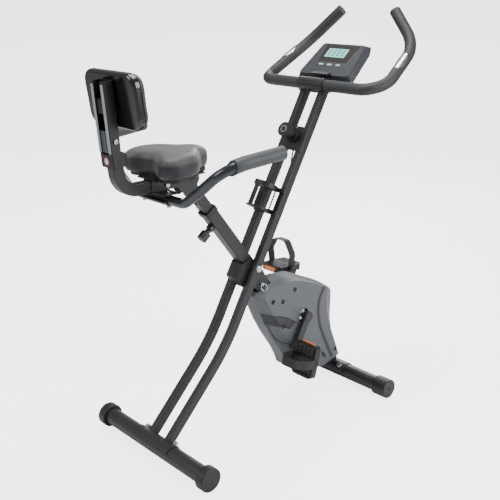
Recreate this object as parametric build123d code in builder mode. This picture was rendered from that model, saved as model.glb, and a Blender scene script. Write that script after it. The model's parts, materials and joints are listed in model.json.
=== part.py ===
"""Folding exercise bike with a backrest: an X-frame of two pivoted frames, magnetic drive,
adjustable seat and backrest. Millimetres, +X forwards, +Y the bike's left, +Z up, floor at Z = 0."""
import os
from math import atan2, cos, degrees, radians, sin

from build123d import *

# ---------------------------------------------------------------- driving dimensions
pivot_x, pivot_z = -10.0, 469.0            # bolt the two frames fold about
post_lean = radians(29.42)                 # handlebar posts lean forwards by this
post_width, post_depth, post_y = 20.0, 26.0, 34.0
post_top = 541.0                           # along the post from the pivot bolt
seat_lean = radians(37.69)                 # seat tube leans backwards by this
seat_tube_size, seat_tube_top = 36.0, 241.4
seat_post_size, seat_post_top = 30.0, 360.0
tube_wall = 2.0

rear_foot_x, rear_foot_z, rear_foot_half = -355.0, 32.0, 234.5
front_foot_x, front_foot_z, front_foot_half = 366.0, 30.0, 242.5
foot_radius = 24.0
roller_radius, roller_width = 30.0, 49.0
cap_radius, cap_width = 33.0, 28.0

crank_x, crank_z, crank_length = 181.0, 273.5, 120.6
crank_angle = degrees(atan2(104.0, 61.0))  # left crank points up and forwards
axle_radius = 8.5
flywheel_x, flywheel_z, flywheel_radius = 215.0, 180.0, 78.0
drive_pulley_radius, small_pulley_radius = 62.0, 14.0
arm_pivot_x, arm_pivot_z = 290.0, 127.0
housing_half, housing_wall = 46.0, 2.6

bar_radius, foam_radius = 12.7, 16.5
side_bar_x, side_bar_z = -320.6, 727.2
saddle_base, saddle_top = 784.0, 842.0
rail_lean = radians(5.0)
panel_lean = radians(8.0)
gap = 0.05                                 # running clearance on a radius
frame_shift = -3.15                        # puts the origin under the middle of the overall length

# ---------------------------------------------------------------- directions and helpers
post_up = Vector(sin(post_lean), 0, cos(post_lean))
post_back = Vector(-cos(post_lean), 0, sin(post_lean))
seat_up = Vector(-sin(seat_lean), 0, cos(seat_lean))
seat_back = Vector(-cos(seat_lean), 0, -sin(seat_lean))
pivot = Vector(pivot_x, 0, pivot_z)
Y = Vector(0, 1, 0)


def at_post(along, back=0.0, y=0.0):
    return pivot + post_up * along + post_back * back + Y * y


def at_seat(along, back=0.0, y=0.0):
    return pivot + seat_up * along + seat_back * back + Y * y


def side(y=0.0):
    """Sketch plane parallel to the bike's side: local X forwards, local Y up, normal to the right."""
    return Plane.XZ.offset(-y)


def seat_tube_path(start):
    """Centre line of the seat tube and its straight run down to the front foot."""
    top = at_seat(start)
    return FilletPolyline((top.X, top.Z), (194, 205), (366, 49.6), radius=400)


def cross_cylinder(x, z, radius, y_from, y_to, mode=Mode.ADD):
    """Cylinder along Y between two Y values."""
    with Locations(Location((x, (y_from + y_to) / 2, z), (90, 0, 0))):
        Cylinder(radius, y_to - y_from, mode=mode)


def both_sides(part):
    """The part and its mirror image, kept as two separate solids."""
    return Compound(children=[*part.solids(), *part.mirror(Plane.XZ).solids()])


def hex_bolt(plane, head_radius, head_height, shank_radius, shank_length):
    """Bolt on a plane: the head stands above it and the shank runs below."""
    with BuildPart() as bolt:
        with BuildSketch(plane):
            RegularPolygon(head_radius, 6)
        extrude(amount=head_height)
        chamfer(bolt.faces().sort_by(Axis(plane.origin, plane.z_dir))[-1].edges(), head_height * 0.15)
        with BuildSketch(plane):
            Circle(shank_radius)
        extrude(amount=-shank_length)
    return bolt.part


parts = {}

# ================================================================ front frame (root)
with BuildPart() as main_tube:
    with BuildLine(Plane.XZ) as tube_line:
        seat_tube_path(seat_tube_top)
    with BuildSketch(Plane(origin=at_seat(seat_tube_top), x_dir=Y, z_dir=-seat_up)):
        RectangleRounded(seat_tube_size, seat_tube_size, 4)
    sweep()
    with BuildLine(Plane.XZ) as bore_line:
        seat_tube_path(seat_tube_top)
    with BuildSketch(Plane(origin=at_seat(seat_tube_top), x_dir=Y, z_dir=-seat_up)):
        RectangleRounded(seat_tube_size - 2 * tube_wall, seat_tube_size - 2 * tube_wall, 2)
    sweep(mode=Mode.SUBTRACT)
    # plate that closes the lower end
    with BuildSketch(Plane(origin=tube_line.line @ 1, x_dir=Y, z_dir=tube_line.line % 1)):
        RectangleRounded(seat_tube_size, seat_tube_size, 4)
    extrude(amount=-3)
    # threaded boss for the seat pin, and its way through the wall
    with BuildSketch(Plane(origin=at_seat(192.8, seat_tube_size / 2 - 1), x_dir=Y, z_dir=seat_back)):
        Circle(11)
    extrude(amount=13)
    with BuildSketch(Plane(origin=at_seat(192.8, seat_tube_size / 2 + 13), x_dir=Y, z_dir=seat_back)):
        Circle(5 + gap)
    extrude(amount=-16.5, mode=Mode.SUBTRACT)
    cross_cylinder(pivot_x, pivot_z, 8, -30, 30, Mode.SUBTRACT)
    cross_cylinder(22, 409, 3 + gap, -30, 30, Mode.SUBTRACT)
    cross_cylinder(flywheel_x, flywheel_z, 6, -30, 30, Mode.SUBTRACT)
    cross_cylinder(arm_pivot_x, arm_pivot_z, 5, -30, 30, Mode.SUBTRACT)
    cross_cylinder(front_foot_x, front_foot_z, foot_radius + 3, -30, 30, Mode.SUBTRACT)
    # welded saddle plate for the front foot
    with BuildSketch(side(0)):
        with Locations((front_foot_x, front_foot_z)):
            Circle(foot_radius + 3)
            Circle(foot_radius, mode=Mode.SUBTRACT)
            with Locations((15, -39)):
                Rectangle(110, 60, rotation=-48, mode=Mode.SUBTRACT)
    extrude(amount=72, both=True)
    for bolt_y in (-56, 56):
        with Locations(Plane(origin=(front_foot_x, bolt_y, front_foot_z), z_dir=(-0.664, 0, 0.747))):
            Cylinder(4, 60, mode=Mode.SUBTRACT)
    # welded pivot bush
    cross_cylinder(pivot_x, pivot_z, 8, -20.7, 20.7)
    cross_cylinder(pivot_x, pivot_z, 5 + gap, -21, 21, Mode.SUBTRACT)
parts["main_tube"] = main_tube.part.solids().sort_by(SortBy.VOLUME)[-1]

with BuildPart() as lock_plates:
    with BuildSketch(side(-18)) as plate_outline:
        with BuildLine():
            Polyline((-24, 480), (4, 478), (27, 456), (51, 412), (73, 386),
                     (62, 374), (14, 387), (0, 400), (-26, 452), close=True)
        make_face()
        fillet(plate_outline.vertices(), 5)
        with Locations((pivot_x, pivot_z)):
            Circle(8, mode=Mode.SUBTRACT)
        with Locations((22, 409)):
            Circle(3 + gap, mode=Mode.SUBTRACT)
    extrude(amount=2.5)
parts["lock_plates"] = both_sides(lock_plates.part)

with BuildPart() as seat_tube_collar:
    collar_plane = Plane(origin=at_seat(seat_tube_top - 12), x_dir=Y, z_dir=seat_up)
    with BuildSketch(collar_plane):
        RectangleRounded(seat_tube_size + 5, seat_tube_size + 5, 6)
        RectangleRounded(seat_tube_size, seat_tube_size, 4, mode=Mode.SUBTRACT)
    extrude(amount=12)
    with BuildSketch(collar_plane.offset(12)):
        RectangleRounded(seat_tube_size + 5, seat_tube_size + 5, 6)
        Rectangle(seat_post_size + 2 * gap, seat_post_size + 2 * gap, mode=Mode.SUBTRACT)
    extrude(amount=3)
parts["seat_tube_collar"] = seat_tube_collar.part

with BuildPart() as front_foot_tube:
    foot_inner = front_foot_half - roller_width
    cross_cylinder(front_foot_x, front_foot_z, foot_radius, -foot_inner, foot_inner)
    cross_cylinder(front_foot_x, front_foot_z, foot_radius - tube_wall, 3 - foot_inner,
                   foot_inner - 3, Mode.SUBTRACT)
    cross_cylinder(front_foot_x, front_foot_z, 10, foot_inner - 3, front_foot_half - 5)
    cross_cylinder(front_foot_x, front_foot_z, 10, 5 - front_foot_half, 3 - foot_inner)
    for bolt_y in (-56, 56):
        with Locations(Plane(origin=(front_foot_x, bolt_y, front_foot_z), z_dir=(-0.664, 0, 0.747))):
            Cylinder(4, 60, mode=Mode.SUBTRACT)
parts["front_foot_tube"] = front_foot_tube.part

front_bolt_plane = Plane(origin=Vector(front_foot_x, -56, front_foot_z) + Vector(-0.664, 0, 0.747) * 27,
                         z_dir=(-0.664, 0, 0.747))
parts["front_foot_bolts"] = both_sides(hex_bolt(front_bolt_plane, 8.5, 8, 4, 46))

with BuildPart() as crank_shell:
    cross_cylinder(crank_x, crank_z, 20, -36, 36)
    with BuildSketch(side(0)):
        with BuildLine():
            Polyline((crank_x - 19, crank_z - 4), (crank_x + 19, crank_z - 4), (crank_x + 22, 215),
                     (crank_x - 30, 238), close=True)
        make_face()
    extrude(amount=14, both=True)
    with BuildLine(Plane.XZ) as clear_line:
        seat_tube_path(seat_tube_top)
    with BuildSketch(Plane(origin=at_seat(seat_tube_top), x_dir=Y, z_dir=-seat_up)):
        Rectangle(seat_tube_size, seat_tube_size)
    sweep(mode=Mode.SUBTRACT)
    cross_cylinder(crank_x, crank_z, 17, -40, 40, Mode.SUBTRACT)
parts["crank_shell"] = crank_shell.part.solids().sort_by(SortBy.VOLUME)[-1]

with BuildPart() as crank_bearing:
    cross_cylinder(crank_x, crank_z, 17, 24, 36)
    cross_cylinder(crank_x, crank_z, axle_radius + gap, 20, 40, Mode.SUBTRACT)
parts["crank_bearings"] = both_sides(crank_bearing.part)

with BuildPart() as flywheel_axle:
    cross_cylinder(flywheel_x, flywheel_z, 6, -24, 43)
    cross_cylinder(flywheel_x, flywheel_z, 9, -27, -18)

with BuildPart() as magnet_pin:
    cross_cylinder(arm_pivot_x, arm_pivot_z, 5, -22, 38)
    cross_cylinder(arm_pivot_x, arm_pivot_z, 8, -25, -18)
parts["drive_pins"] = Compound(children=[flywheel_axle.part.solid(), magnet_pin.part.solid()])


# ---- drive housing: two half shells lofted between a middle, an inner and an outer outline
def inset_points(points, inset):
    """Clockwise closed outline with every corner moved inwards by the same wall thickness."""
    moved = []
    for before, here, after in zip(points[-1:] + points[:-1], points, points[1:] + points[:1]):
        first = Vector(here[1] - before[1], before[0] - here[0]).normalized()
        second = Vector(after[1] - here[1], here[0] - after[0]).normalized()
        step = (first + second) * (inset / (1 + first.dot(second)))
        moved.append((here[0] + step.X, here[1] + step.Y))
    return moved


def housing_outline(rear, top, front, bottom, inset, y):
    points = inset_points(rear + top + front + bottom, inset)
    rear_end = len(rear)
    top_end = rear_end + len(top)
    front_end = top_end + len(front)
    with BuildSketch(side(y)) as outline:
        with BuildLine():
            Spline(*points[:rear_end])
            Spline(*points[rear_end - 1:top_end])
            Spline(*points[top_end - 1:front_end])
            Polyline(*points[front_end - 1:], points[0])
        make_face()
    return outline.sketch


def housing_body(inset):
    """Right half of the housing as a solid block; inset moves every wall inwards."""
    middle = housing_outline([(131, 112), (93, 187), (66, 226), (24, 300), (-12, 378)],
                             [(26, 400), (71, 413), (121, 417), (191, 391), (263, 358), (342, 310)],
                             [(346, 270), (344, 225), (350, 175), (362, 118), (368, 88)],
                             [(322, 76), (277, 63), (195, 78)], inset, 0)
    inner = housing_outline([(131, 113), (93, 188), (67, 226), (25, 300), (-11, 377)],
                            [(26, 394), (68, 405), (120, 408), (188, 384), (255, 353), (327, 312)],
                            [(329, 272), (328, 225), (336, 175), (350, 118), (358, 87)],
                            [(320, 77), (277, 64), (195, 79)], inset, -22)
    outer = housing_outline([(148, 122), (116, 196), (92, 236), (52, 308), (14, 373)],
                            [(40, 386), (74, 393), (119, 398), (165, 388), (222, 366), (286, 336)],
                            [(284, 300), (286, 255), (300, 210), (325, 150), (350, 88)],
                            [(318, 81), (277, 70), (198, 87)], inset, inset - housing_half)
    with BuildPart() as body:
        loft([middle.face(), inner.face(), outer.face()], ruled=True)
    return body.part


def housing_half_shell():
    with BuildPart() as shell:
        add(housing_body(0))
        add(housing_body(housing_wall), mode=Mode.SUBTRACT)
        # way in for the frame tube, top and bottom
        with BuildLine(Plane.XZ) as way:
            seat_tube_path(200)
        with BuildSketch(Plane(origin=at_seat(200), x_dir=Y, z_dir=-seat_up)):
            Rectangle(seat_tube_size + 1, seat_tube_size + 1)
        sweep(mode=Mode.SUBTRACT)
        with BuildSketch(side(0)):
            with BuildLine():
                Polyline((-40, 480), (20, 480), (30, 458), (54, 413), (78, 386),
                         (63, 370), (12, 382), (-4, 399), (-30, 452), close=True)
            make_face()
        extrude(amount=22, mode=Mode.SUBTRACT)
        cross_cylinder(front_foot_x, front_foot_z, foot_radius + 4, -74, 1, Mode.SUBTRACT)
        cross_cylinder(crank_x, crank_z, 21, -60, 0, Mode.SUBTRACT)
        with Locations(*[Location((x, -40, z), (90, 0, 0)) for x, z in screw_places]):
            Cylinder(3.2, 20, mode=Mode.SUBTRACT)
    return shell.part.solids().sort_by(SortBy.VOLUME)[-1]


screw_places = [(139, 367), (89, 342), (48, 352), (92, 262), (332, 112)]
housing_shell = housing_half_shell()
parts["housing_right"] = housing_shell
parts["housing_left"] = housing_shell.mirror(Plane.XZ)

with BuildPart() as housing_screws:
    with Locations(*[Location((x, -42, z), (90, 0, 0)) for x, z in screw_places]):
        Cylinder(3.2, 4)
parts["housing_screws"] = both_sides(housing_screws.part)

with BuildPart() as drive_belt:
    with BuildSketch(side(37)) as belt_outline:
        with Locations((crank_x, crank_z)):
            Circle(drive_pulley_radius + 2.4)
        with Locations((flywheel_x, flywheel_z)):
            Circle(small_pulley_radius + 2.4)
        make_hull()
    extrude(amount=-5)
    with BuildSketch(side(37)) as belt_inside:
        with Locations((crank_x, crank_z)):
            Circle(drive_pulley_radius + 0.4)
        with Locations((flywheel_x, flywheel_z)):
            Circle(small_pulley_radius + 0.4)
        make_hull()
    extrude(amount=-5, mode=Mode.SUBTRACT)
parts["drive_belt"] = drive_belt.part

# ================================================================ front rollers
with BuildPart() as front_roller:
    cross_cylinder(front_foot_x, front_foot_z, roller_radius, -front_foot_half,
                   0.4 - front_foot_half + roller_width - 0.8)
    fillet(front_roller.edges().filter_by(GeomType.CIRCLE), 2)
    cross_cylinder(front_foot_x, front_foot_z, 10 + gap, 4 - front_foot_half, -150, Mode.SUBTRACT)
    cross_cylinder(front_foot_x, front_foot_z, 3, -260, -150, Mode.SUBTRACT)
parts["front_roller_right"] = front_roller.part
parts["front_roller_left"] = front_roller.part.mirror(Plane.XZ)

# ================================================================ flywheel and magnet arm
with BuildPart() as flywheel:
    cross_cylinder(flywheel_x, flywheel_z, flywheel_radius, 21.5, 34.5)
    cross_cylinder(flywheel_x, flywheel_z, flywheel_radius - 14, 30.5, 35, Mode.SUBTRACT)
    cross_cylinder(flywheel_x, flywheel_z, 20, 21.5, 34.5)
    cross_cylinder(flywheel_x, flywheel_z, small_pulley_radius, 34.5, 42.5)
    cross_cylinder(flywheel_x, flywheel_z, 6 + gap, 15, 50, Mode.SUBTRACT)
parts["flywheel"] = flywheel.part

with BuildPart() as magnet_arm:
    with BuildSketch(side(23)) as shoe:
        with Locations((flywheel_x, flywheel_z)):
            Circle(flywheel_radius + 15)
            Circle(flywheel_radius + 8, mode=Mode.SUBTRACT)
        with BuildLine():
            Polyline((flywheel_x, flywheel_z), (flywheel_x - 28, flywheel_z - 110),
                     (flywheel_x + 40, flywheel_z - 130), (flywheel_x + 95, flywheel_z - 66), close=True)
        make_face(mode=Mode.INTERSECT)
        with Locations((arm_pivot_x, arm_pivot_z)):
            Circle(9)
            Circle(5 + gap, mode=Mode.SUBTRACT)
    extrude(amount=-10)
parts["magnet_arm"] = magnet_arm.part.solids().sort_by(SortBy.VOLUME)[-1]

# ================================================================ crank set
pedal_right_x = crank_x - crank_length * cos(radians(crank_angle))
pedal_right_z = crank_z - crank_length * sin(radians(crank_angle))
pedal_left_x = 2 * crank_x - pedal_right_x
pedal_left_z = 2 * crank_z - pedal_right_z

with BuildPart() as crank_axle:
    cross_cylinder(crank_x, crank_z, axle_radius, -64, 64)
parts["crank_axle"] = crank_axle.part

with BuildPart() as drive_pulley:
    cross_cylinder(crank_x, crank_z, drive_pulley_radius, 37, 42.5)
    cross_cylinder(crank_x, crank_z, 14, 36.3, 44)
    with BuildSketch(side(36)):
        with Locations((crank_x, crank_z)):
            with PolarLocations(38, 6):
                Circle(11)
    extrude(amount=-10, mode=Mode.SUBTRACT)
    cross_cylinder(crank_x, crank_z, axle_radius, 20, 60, Mode.SUBTRACT)
parts["drive_pulley"] = drive_pulley.part


def crank_arm(pedal_x, pedal_z, near_y, direction):
    """Flat tapering arm with a round boss on the axle and a threaded eye for the pedal."""
    with BuildPart() as arm:
        with BuildSketch(side(direction * near_y)):
            with Locations((crank_x, crank_z)):
                Circle(15)
            with Locations((pedal_x, pedal_z)):
                Circle(11.5)
            make_hull()
        extrude(amount=-direction * 11)
        fillet(arm.edges().filter_by(Axis.Y, reverse=True), 2.5)
        with BuildSketch(side(direction * (near_y - 3.5))):
            with Locations((crank_x, crank_z)):
                Circle(16)
        extrude(amount=-direction * 16)
        with BuildSketch(side(direction * (near_y - 10))):
            with Locations((crank_x, crank_z)):
                Circle(axle_radius)
        extrude(amount=-direction * 23.5 + direction * 4, mode=Mode.SUBTRACT)
        # pedal axle screwed into the end
        for radius, start, end in ((6, 55.5, 66), (9, 66, 69), (5, 66, 154)):
            cross_cylinder(pedal_x, pedal_z, radius, *sorted((direction * start, direction * end)))
    return arm.part


parts["crank_right"] = crank_arm(pedal_right_x, pedal_right_z, 55, -1)
parts["crank_left"] = crank_arm(pedal_left_x, pedal_left_z, 55, 1)

# ---- pedals, modelled level about their own axle and then turned to how they hang
with BuildPart() as pedal:
    with BuildSketch(Plane.XY) as platform:
        with Locations((0, 113)):
            RectangleRounded(102, 82, 14)
            with Locations((-28, 0), (28, 0)):
                RectangleRounded(28, 62, 3, mode=Mode.SUBTRACT)
    extrude(amount=10, both=True)
    cross_cylinder(0, 0, 12, 73, 153)
    with BuildSketch(Plane.XY.offset(10)):
        with Locations((0, 113)):
            with GridLocations(9, 0, 11, 1):
                Rectangle(3.4, 70)
    extrude(amount=2)
    with BuildSketch(Plane.XY):
        with Locations((-28, 113), (28, 113)):
            with GridLocations(0, 15.5, 1, 5):
                Rectangle(31, 3)
    extrude(amount=9, both=True)
    cross_cylinder(0, 0, 5 + gap, 60, 150.5, Mode.SUBTRACT)
    cross_cylinder(0, 0, 7, 60, 74, Mode.SUBTRACT)
    cross_cylinder(0, 0, 7, 148, 160, Mode.SUBTRACT)

with BuildPart() as strap:
    with BuildLine(Plane.YZ) as strap_line:
        FilletPolyline((155.3, 7), (165, 46), (144, 86), (96, 86), (69, 46), (70.7, 7), radius=20)
    with BuildSketch(Plane(origin=strap_line.line @ 0, x_dir=(1, 0, 0), z_dir=strap_line.line % 0)):
        Rectangle(26, 2.4)
    sweep()

left_hang = Location((pedal_left_x, 0, pedal_left_z), (0, 4, 0))
right_hang = Location((pedal_right_x, 0, pedal_right_z), (0, -76, 0))
parts["pedal_left"] = pedal.part.moved(left_hang)
parts["pedal_right"] = pedal.part.mirror(Plane.XZ).moved(right_hang)
parts["strap_left"] = strap.part.moved(left_hang)
parts["strap_right"] = strap.part.mirror(Plane.XZ).moved(right_hang)

# ================================================================ rear frame with the handlebar
post_end = at_post(post_top)
with BuildPart() as post_right:
    with BuildLine(side(-post_y)) as post_line:
        FilletPolyline((post_end.X, post_end.Z), (-127.3, 261.0), (-348, 34.0), radius=600)
    with BuildSketch(Plane(origin=post_line.line @ 0, x_dir=Y, z_dir=post_line.line % 0)):
        RectangleRounded(post_width, post_depth, 3)
        RectangleRounded(post_width - 3.6, post_depth - 3.6, 1.2, mode=Mode.SUBTRACT)
    sweep()
    cross_cylinder(pivot_x, pivot_z, 5, -60, 60, Mode.SUBTRACT)
    cross_cylinder(rear_foot_x, rear_foot_z, foot_radius + 3, -80, 80, Mode.SUBTRACT)
    with Locations((246.5, -34, 958)):
        Box(60, 100, 48, mode=Mode.SUBTRACT)
post_solid = post_right.part.solids().sort_by(SortBy.VOLUME)[-1]
parts["post_left"] = post_solid.mirror(Plane.XZ)

cable_points = [at_post(369, -3, 0), at_post(338, -5, -4), at_post(300, -7, -14), at_post(272, -2, -33),
                at_post(200, 0, -34), at_post(40, 0, -34)]
with BuildPart() as tension_cable:
    with BuildLine() as cable_line:
        FilletPolyline(*cable_points, radius=[60, 60, 24, 60])
    with BuildSketch(Plane(origin=cable_line.line @ 0, z_dir=cable_line.line % 0)):
        Circle(2.2)
    sweep()
parts["tension_cable"] = tension_cable.part
with BuildPart() as cable_way:
    with BuildLine() as way_line:
        FilletPolyline(*cable_points[2:5], radius=[24])
    with BuildSketch(Plane(origin=way_line.line @ 0, z_dir=way_line.line % 0)):
        Circle(3.6)
    sweep()
with BuildPart() as post_with_hole:
    add(post_solid)
    add(cable_way.part, mode=Mode.SUBTRACT)
parts["post_right"] = post_with_hole.part.solids().sort_by(SortBy.VOLUME)[-1]

with BuildPart() as pivot_bolt:
    cross_cylinder(pivot_x, pivot_z, 5, -48, 48)
    cross_cylinder(pivot_x, pivot_z, 10, -50.5, -44)
    fillet(pivot_bolt.faces().sort_by(Axis.Y)[0].edges(), 3)
    with BuildSketch(side(44)):
        with Locations((pivot_x, pivot_z)):
            RegularPolygon(9.5, 6)
    extrude(amount=-8)
parts["pivot_bolt"] = pivot_bolt.part

with BuildPart() as pivot_box:
    with BuildSketch(side(-21)) as box_side:
        with BuildLine():
            Polyline((-48, 488.5), (-71.2, 448), (-52, 419), (-22, 428), (2, 464), (-6, 484),
                     (-24, 496), close=True)
        make_face()
        fillet(box_side.vertices().group_by(Axis.X)[0], 6)
        with Locations((pivot_x, pivot_z)):
            Circle(5, mode=Mode.SUBTRACT)
    extrude(amount=3)
    mirror(about=Plane.XZ)
    with BuildSketch(side(0)):
        with BuildLine():
            Polyline((-49.3, 486.3), (-71.2, 448), (-52, 419), (-30, 425.5), (-31, 428.6), (-50.7, 422.6),
                     (-67.7, 448.2), (-46.8, 484.6), close=True)
        make_face()
    extrude(amount=21, both=True)
parts["pivot_box"] = pivot_box.part

with BuildPart() as rear_foot_tube:
    cross_cylinder(rear_foot_x, rear_foot_z, foot_radius, -rear_foot_half + 3, rear_foot_half - 3)
    cross_cylinder(rear_foot_x, rear_foot_z, foot_radius - tube_wall, -300, 300, Mode.SUBTRACT)
    for bolt_y in (-61, 61):
        with Locations(Plane(origin=(rear_foot_x, bolt_y, rear_foot_z), z_dir=(0.69, 0, 0.724))):
            Cylinder(4, 60, mode=Mode.SUBTRACT)
parts["rear_foot_tube"] = rear_foot_tube.part

with BuildPart() as rear_foot_saddle:
    with BuildSketch(side(0)):
        with Locations((rear_foot_x, rear_foot_z)):
            Circle(foot_radius + 3)
            Circle(foot_radius, mode=Mode.SUBTRACT)
            with Locations((-27, -26)):
                Rectangle(110, 60, rotation=-46, mode=Mode.SUBTRACT)
    extrude(amount=76, both=True)
    for bolt_y in (-61, 61):
        with Locations(Plane(origin=(rear_foot_x, bolt_y, rear_foot_z), z_dir=(0.69, 0, 0.724))):
            Cylinder(4, 60, mode=Mode.SUBTRACT)
parts["rear_foot_saddle"] = rear_foot_saddle.part.solids().sort_by(SortBy.VOLUME)[-1]

rear_bolt_plane = Plane(origin=Vector(rear_foot_x, -61, rear_foot_z) + Vector(0.69, 0, 0.724) * 27,
                        z_dir=(0.69, 0, 0.724))
parts["rear_foot_bolts"] = both_sides(hex_bolt(rear_bolt_plane, 8.5, 9, 4, 46))

with BuildPart() as rear_foot_cap:
    cross_cylinder(rear_foot_x, rear_foot_z, cap_radius, -rear_foot_half, cap_width - rear_foot_half)
    fillet(rear_foot_cap.edges().filter_by(GeomType.CIRCLE), 3)
    cross_cylinder(rear_foot_x, rear_foot_z, foot_radius, 3 - rear_foot_half, -180, Mode.SUBTRACT)
    with Locations((rear_foot_x, -220, -10)):
        Box(100, 100, 20, mode=Mode.SUBTRACT)
parts["rear_foot_caps"] = both_sides(rear_foot_cap.part)

# ---- handlebar, its clamp and the console
handlebar_points = [(478, -103.5, 1150), (450, -197, 1062), (302, -222, 969), (246.5, -190, 956),
                    (246.5, 190, 956), (302, 222, 969), (450, 197, 1062), (478, 103.5, 1150)]
handlebar_radii = [120, 87, 44, 44, 87, 120]
with BuildPart() as handlebar_tube:
    with BuildLine() as handlebar_line:
        FilletPolyline(*handlebar_points, radius=handlebar_radii)
    with BuildSketch(Plane(origin=handlebar_line.line @ 0, z_dir=handlebar_line.line % 0)):
        Circle(bar_radius)
        Circle(bar_radius - tube_wall, mode=Mode.SUBTRACT)
    sweep()
parts["handlebar_tube"] = handlebar_tube.part

with BuildPart() as foam:
    with BuildLine() as foam_line:
        FilletPolyline(*handlebar_points, radius=handlebar_radii)
    with BuildSketch(Plane(origin=foam_line.line @ 0, z_dir=foam_line.line % 0)):
        Circle(foam_radius)
        Circle(bar_radius, mode=Mode.SUBTRACT)
    sweep()
    with Locations((246.5, 0, 956)):
        Box(50, 97, 60, mode=Mode.SUBTRACT)
    for end, sign in ((0, -1), (1, 1)):
        with BuildSketch(Plane(origin=foam_line.line @ end, z_dir=sign * (foam_line.line % end))):
            Circle(foam_radius)
        extrude(amount=5)
parts["handlebar_foam"] = Compound(children=list(foam.part.solids().sort_by(Axis.Y)))

pulse_middle = Vector(376, -209.5, 1015.5)
pulse_along = Vector(148, 25, 93).normalized()
pulse_out = Vector(-0.62, -0.30, 0.72)
with BuildPart() as pulse_plate:
    with BuildSketch(Plane(origin=pulse_middle - pulse_along * 34, z_dir=pulse_along)):
        Circle(foam_radius + 1.6)
        Circle(foam_radius, mode=Mode.SUBTRACT)
    extrude(amount=68)
    with BuildSketch(Plane(origin=pulse_middle, x_dir=pulse_along, z_dir=pulse_out)):
        Ellipse(33, 12.5)
        Rectangle(2.2, 60, mode=Mode.SUBTRACT)
    extrude(amount=40, mode=Mode.INTERSECT)
parts["pulse_plates"] = both_sides(pulse_plate.part)

with BuildPart() as handlebar_clamp:
    with BuildSketch(side(0)):
        with Locations((246.5, 956)):
            Circle(19.5)
        with Locations((255, 942)):
            Rectangle(32, 16)
        with Locations((246.5, 956)):
            Circle(bar_radius, mode=Mode.SUBTRACT)
    extrude(amount=48, both=True)

console_up = Vector(98, 0, 83).normalized()
console_out = Vector(-83, 0, 98).normalized()
console_origin = Vector(284, 0, 980)
console_face = Plane(origin=console_origin, x_dir=-Y, z_dir=console_out)


with BuildPart() as console_body:
    with BuildSketch(console_face) as face_outline:
        with BuildLine():
            Polyline((-93, 0), (93, 0), (79, 124), (-79, 124), close=True)
        make_face()
        fillet(face_outline.vertices(), 10)
    with BuildSketch(console_face.offset(-14)) as wide_outline:
        with BuildLine():
            Polyline((-102, -8), (102, -8), (90, 134), (-90, 134), close=True)
        make_face()
        fillet(wide_outline.vertices(), 12)
    with BuildSketch(console_face.offset(-32)) as back_outline:
        with BuildLine():
            Polyline((-94, -2), (94, -2), (82, 126), (-82, 126), close=True)
        make_face()
        fillet(back_outline.vertices(), 12)
    loft(ruled=True)
    # pocket for the window and wells for the three buttons
    with BuildSketch(console_face):
        with BuildLine():
            Polyline((-51.3, 51.8), (51.3, 51.8), (63, 119), (-63, 119), close=True)
        make_face()
    extrude(amount=-3, mode=Mode.SUBTRACT)
    with BuildSketch(console_face):
        with Locations((-32, 39), (0, 39), (32, 39)):
            SlotOverall(17.1, 7.1)
    extrude(amount=-8, mode=Mode.SUBTRACT)
parts["console_body"] = console_body.part

with BuildPart() as clamp_with_bracket:
    with BuildSketch(side(0)):
        with BuildLine():
            Polyline((262, 944), (262, 974), (287, 961), (312, 984), (322, 976), (294, 950), close=True)
        make_face()
    extrude(amount=20, both=True)
    add(handlebar_clamp.part)
    add(console_body.part, mode=Mode.SUBTRACT)
parts["handlebar_clamp"] = clamp_with_bracket.part.solids().sort_by(SortBy.VOLUME)[-1]

with BuildPart() as console_window:
    with BuildSketch(console_face.offset(-3)):
        with BuildLine():
            Polyline((-51, 52), (51, 52), (62.7, 118.8), (-62.7, 118.8), close=True)
        make_face()
    extrude(amount=3.4)
parts["console_window"] = console_window.part

for name, across in (("left", -32), ("middle", 0), ("right", 32)):
    with BuildPart() as button:
        with BuildSketch(console_face.offset(-4.5)):
            with Locations((across, 39)):
                SlotOverall(17, 7)
        extrude(amount=6.5)
        fillet(button.faces().sort_by(Axis(console_origin, console_out))[-1].edges(), 1)
    parts["button_" + name] = button.part

# ---- tension plate, knob and bottle cage on the posts
post_rear_face = post_depth / 2
plate_middle = 385.0
with BuildPart() as tension_plate:
    with BuildSketch(Plane(origin=at_post(plate_middle, post_rear_face), x_dir=Y, z_dir=post_back)):
        RectangleRounded(88, 72, 4)
    extrude(amount=3)
    with BuildSketch(Plane(origin=at_post(plate_middle, post_rear_face), x_dir=Y, z_dir=post_back)):
        Rectangle(47.4, 66)
    extrude(amount=-14)
    with BuildSketch(Plane(origin=at_post(plate_middle + 8, post_rear_face + 3), x_dir=Y,
                           z_dir=post_back)):
        Circle(23)
    extrude(amount=14)
    with BuildSketch(Plane(origin=at_post(plate_middle + 8, post_rear_face + 17), x_dir=Y,
                           z_dir=post_back)):
        Circle(5 + gap)
    extrude(amount=-14, mode=Mode.SUBTRACT)
    with BuildSketch(Plane(origin=at_post(plate_middle - 33, 0), x_dir=Y, z_dir=post_up)):
        with Locations((0, 3)):
            Circle(2.2)
    extrude(amount=20, mode=Mode.SUBTRACT)
parts["tension_plate"] = tension_plate.part

with BuildPart() as tension_dial:
    dial_plane = Plane(origin=at_post(plate_middle + 8, post_rear_face + 17.4), x_dir=Y, z_dir=post_back)
    with BuildSketch(dial_plane):
        Circle(17)
    extrude(amount=19)
    with BuildSketch(dial_plane.offset(19)):
        Circle(21)
        with PolarLocations(22, 18):
            Circle(2, mode=Mode.SUBTRACT)
    extrude(amount=13.5)
    with BuildSketch(dial_plane):
        Circle(5)
    extrude(amount=-11)
parts["tension_dial"] = tension_dial.part

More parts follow.
